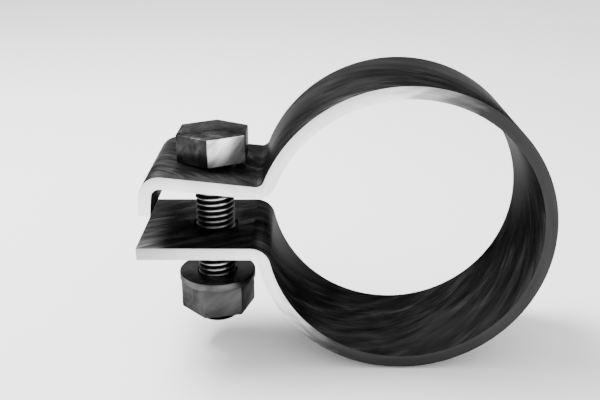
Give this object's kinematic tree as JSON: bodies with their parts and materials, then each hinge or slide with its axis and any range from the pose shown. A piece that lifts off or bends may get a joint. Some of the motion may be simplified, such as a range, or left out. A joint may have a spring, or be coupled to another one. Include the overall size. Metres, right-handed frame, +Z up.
{
  "type": "pipe repair clamp",
  "caption": "Open steel strap clamp for a pipe: a bent flat strip with two bolted ears, drawn shut by a hex bolt, flat washer and hex nut.",
  "frame": {"origin": "centre of the pipe bore, at mid width of the strip", "axes": "+Z up along the bolt towards its head, +Y along the pipe, the ears towards -X"},
  "size_m": [0.1014, 0.0336, 0.0728],
  "materials": {
    "band_steel": "dark rolled strip with faint streaks, bright where it was cut",
    "bolt_steel": "dark steel, bright thread crests",
    "washer_steel": "dark stamped steel with faint streaks",
    "nut_steel": "dark steel with faint streaks"
  },
  "bodies": {
    "lower_band": {"band_lower_half": "band_steel"},
    "upper_band": {"band_upper_half": "band_steel"},
    "bolt": {"hex_bolt": "bolt_steel"},
    "washer": {"flat_washer": "washer_steel"},
    "nut": {"hex_nut": "nut_steel"}
  },
  "joints": [
    {"name": "nut_turn", "type": "hinge", "parent": "washer", "child": "nut", "pos_m": [-0.0472, 0, -0.0228], "axis": [0, 0, 1], "range_deg": [0, 4320]},
    {"name": "washer_travel", "type": "slide", "parent": "lower_band", "child": "washer", "axis": [0, 0, 1], "range_m": [0, 0.0102]},
    {"name": "bolt_draw", "type": "slide", "parent": "lower_band", "child": "bolt", "axis": [0, 0, -1], "range_m": [0, 0.0078]},
    {"name": "band_flex", "type": "hinge", "parent": "lower_band", "child": "upper_band", "pos_m": [0.0334, 0, 0], "axis": [0, -1, 0], "range_deg": [0, 4.95]}
  ],
  "couplings": [
    {"joint": "washer_travel", "follows": "bolt_draw", "ratio": 1.3077},
    {"joint": "nut_turn", "follows": "bolt_draw", "rad_per_m": 9666.4},
    {"joint": "band_flex", "follows": "bolt_draw", "rad_per_m": 11.076}
  ]
}
